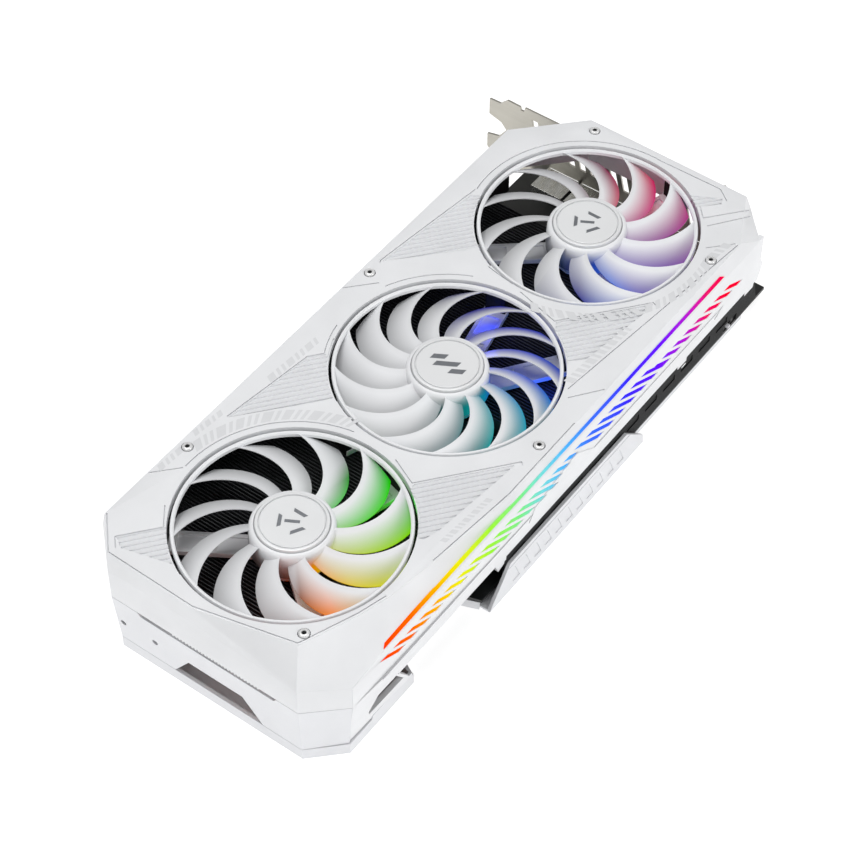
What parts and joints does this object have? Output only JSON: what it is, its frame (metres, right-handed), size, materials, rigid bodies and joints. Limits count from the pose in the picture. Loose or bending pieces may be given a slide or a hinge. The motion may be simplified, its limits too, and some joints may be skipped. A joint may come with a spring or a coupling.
{
  "type": "graphics card",
  "caption": "Triple-fan graphics card lying on its backplate, with a finned heatsink, heat pipes, slot bracket and a lit side.",
  "frame": {"origin": "on the outer face of the backplate, straight below the axis of the middle fan", "axes": "+Z out of the fans, +X along the card towards the slot bracket, +Y towards the edge connector"},
  "size_m": [0.3289, 0.1561, 0.0578],
  "materials": {
    "white_plastic": "fine-grained white moulding, satin",
    "white_metal": "white powder coat on sheet aluminium",
    "light_line": "frosted light guide, lit with a rainbow from end to end",
    "light_dashes": "frosted light guide, lit with a rainbow from end to end",
    "blade_plastic": "white moulding, smooth satin",
    "cap_metal": "fine spun face with two turned rings",
    "fin_black": "black coated sheet fins",
    "copper": "drawn copper",
    "nickel": "nickel plate, slightly dull",
    "bracket_steel": "stamped steel, grey nickel plate",
    "screw_steel": "steel screw with a dark socket",
    "board_black": "black solder mask over glass laminate",
    "socket_black": "black moulded connector housing",
    "brass": "sintered bronze bush"
  },
  "bodies": {
    "root": {"backplate": "white_metal", "bios_switch_body": "socket_black", "circuit_board": "board_black", "cold_plate": "nickel", "end_frame": "white_metal", "fan_bearing_1": "brass", "fan_bearing_2": "brass", "fan_bearing_3": "brass", "fan_frame_1": "white_plastic", "fan_frame_2": "white_plastic", "fan_frame_3": "white_plastic", "fan_stator_1": "copper", "fan_stator_2": "copper", "fan_stator_3": "copper", "fin_stack_front": "fin_black", "fin_stack_rear": "fin_black", "front_shroud": "white_plastic", "gpu_die": "nickel", "gpu_package": "board_black", "gpu_retention_bracket": "bracket_steel", "heat_pipe_1": "copper", "heat_pipe_2": "copper", "heat_pipe_3": "copper", "heat_pipe_4": "copper", "heat_pipe_5": "copper", "heat_pipe_6": "copper", "io_bracket": "bracket_steel", "led_strip": "board_black", "light_dashes": "light_dashes", "light_line": "light_line", "power_socket_1": "socket_black", "power_socket_2": "socket_black", "power_socket_3": "socket_black", "shroud_screw_1": "screw_steel", "shroud_screw_2": "screw_steel", "shroud_screw_3": "screw_steel", "shroud_screw_4": "screw_steel", "shroud_screw_5": "screw_steel", "shroud_screw_6": "screw_steel", "side_badge": "white_metal", "side_rail": "white_plastic", "spring_screw_1": "screw_steel", "spring_screw_2": "screw_steel", "spring_screw_3": "screw_steel", "spring_screw_4": "screw_steel", "video_socket_1": "nickel", "video_socket_2": "nickel", "video_socket_3": "nickel", "video_socket_4": "nickel", "video_socket_5": "nickel"},
    "fan_1": {"fan_rotor_1": "blade_plastic", "hub_cap_1": "cap_metal", "fan_shaft_1": "nickel"},
    "fan_2": {"fan_rotor_2": "blade_plastic", "hub_cap_2": "cap_metal", "fan_shaft_2": "nickel"},
    "fan_3": {"fan_rotor_3": "blade_plastic", "hub_cap_3": "cap_metal", "fan_shaft_3": "nickel"},
    "bios_slider": {"bios_switch_slider": "white_plastic"}
  },
  "joints": [
    {"name": "fan_1_spin", "type": "hinge", "parent": "root", "child": "fan_1", "pos_m": [-0.1014, 0, 0.05], "axis": [0, 0, 1], "continuous": true},
    {"name": "fan_2_spin", "type": "hinge", "parent": "root", "child": "fan_2", "pos_m": [0, 0, 0.05], "axis": [0, 0, 1], "continuous": true},
    {"name": "fan_3_spin", "type": "hinge", "parent": "root", "child": "fan_3", "pos_m": [0.1014, 0, 0.05], "axis": [0, 0, 1], "continuous": true},
    {"name": "bios_switch_slide", "type": "slide", "parent": "root", "child": "bios_slider", "axis": [1, 0, 0], "range_m": [0, 0.002]}
  ]
}
